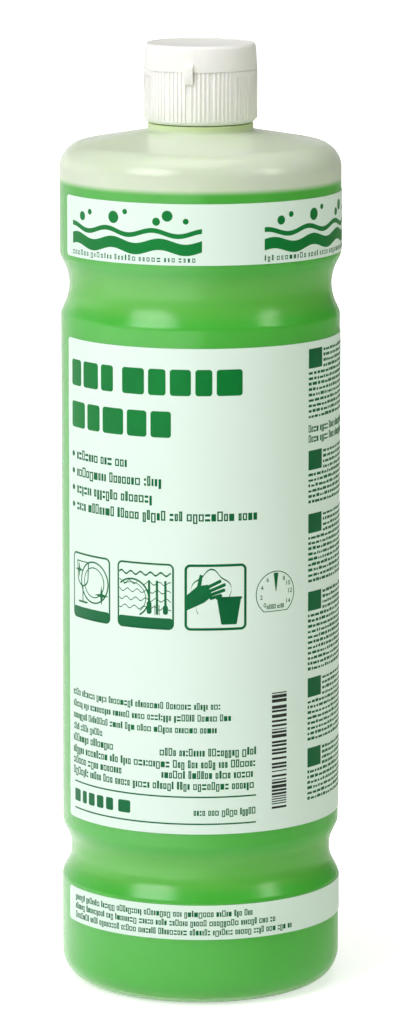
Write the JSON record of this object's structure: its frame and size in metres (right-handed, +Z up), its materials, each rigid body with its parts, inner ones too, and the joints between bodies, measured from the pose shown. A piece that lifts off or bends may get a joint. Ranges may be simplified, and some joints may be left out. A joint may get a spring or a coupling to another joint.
{
  "type": "dish soap bottle",
  "caption": "Round plastic bottle of green dish soap with two finger grooves, wrap labels and a white ribbed flip-top screw closure.",
  "frame": {"origin": "centre of the foot, on the surface that the bottle stands on", "axes": "+Z up along the bottle's axis; -Y is the labels' front"},
  "size_m": [0.0782, 0.0784, 0.2645],
  "materials": {
    "bottle_wall": "satin",
    "soap": "gloss",
    "label_film": "satin",
    "closure": "satin"
  },
  "bodies": {
    "bottle": {"bottle": "bottle_wall", "dish_soap": "soap", "top_label": "label_film", "main_label": "label_film", "foot_label": "label_film"},
    "closure": {"cap_base": "closure", "hinge_strap": "closure"},
    "lid": {"flip_lid": "closure"}
  },
  "joints": [
    {"name": "cap_turn", "type": "hinge", "parent": "bottle", "child": "closure", "pos_m": [0, 0, 0.2426], "axis": [0, 0, 1], "range_deg": [0, 450]},
    {"name": "lid_flip", "type": "hinge", "parent": "closure", "child": "lid", "pos_m": [0.00325, 0.01556, 0.25715], "axis": [-0.9789, 0.2045, 0], "range_deg": [0, 135]}
  ]
}
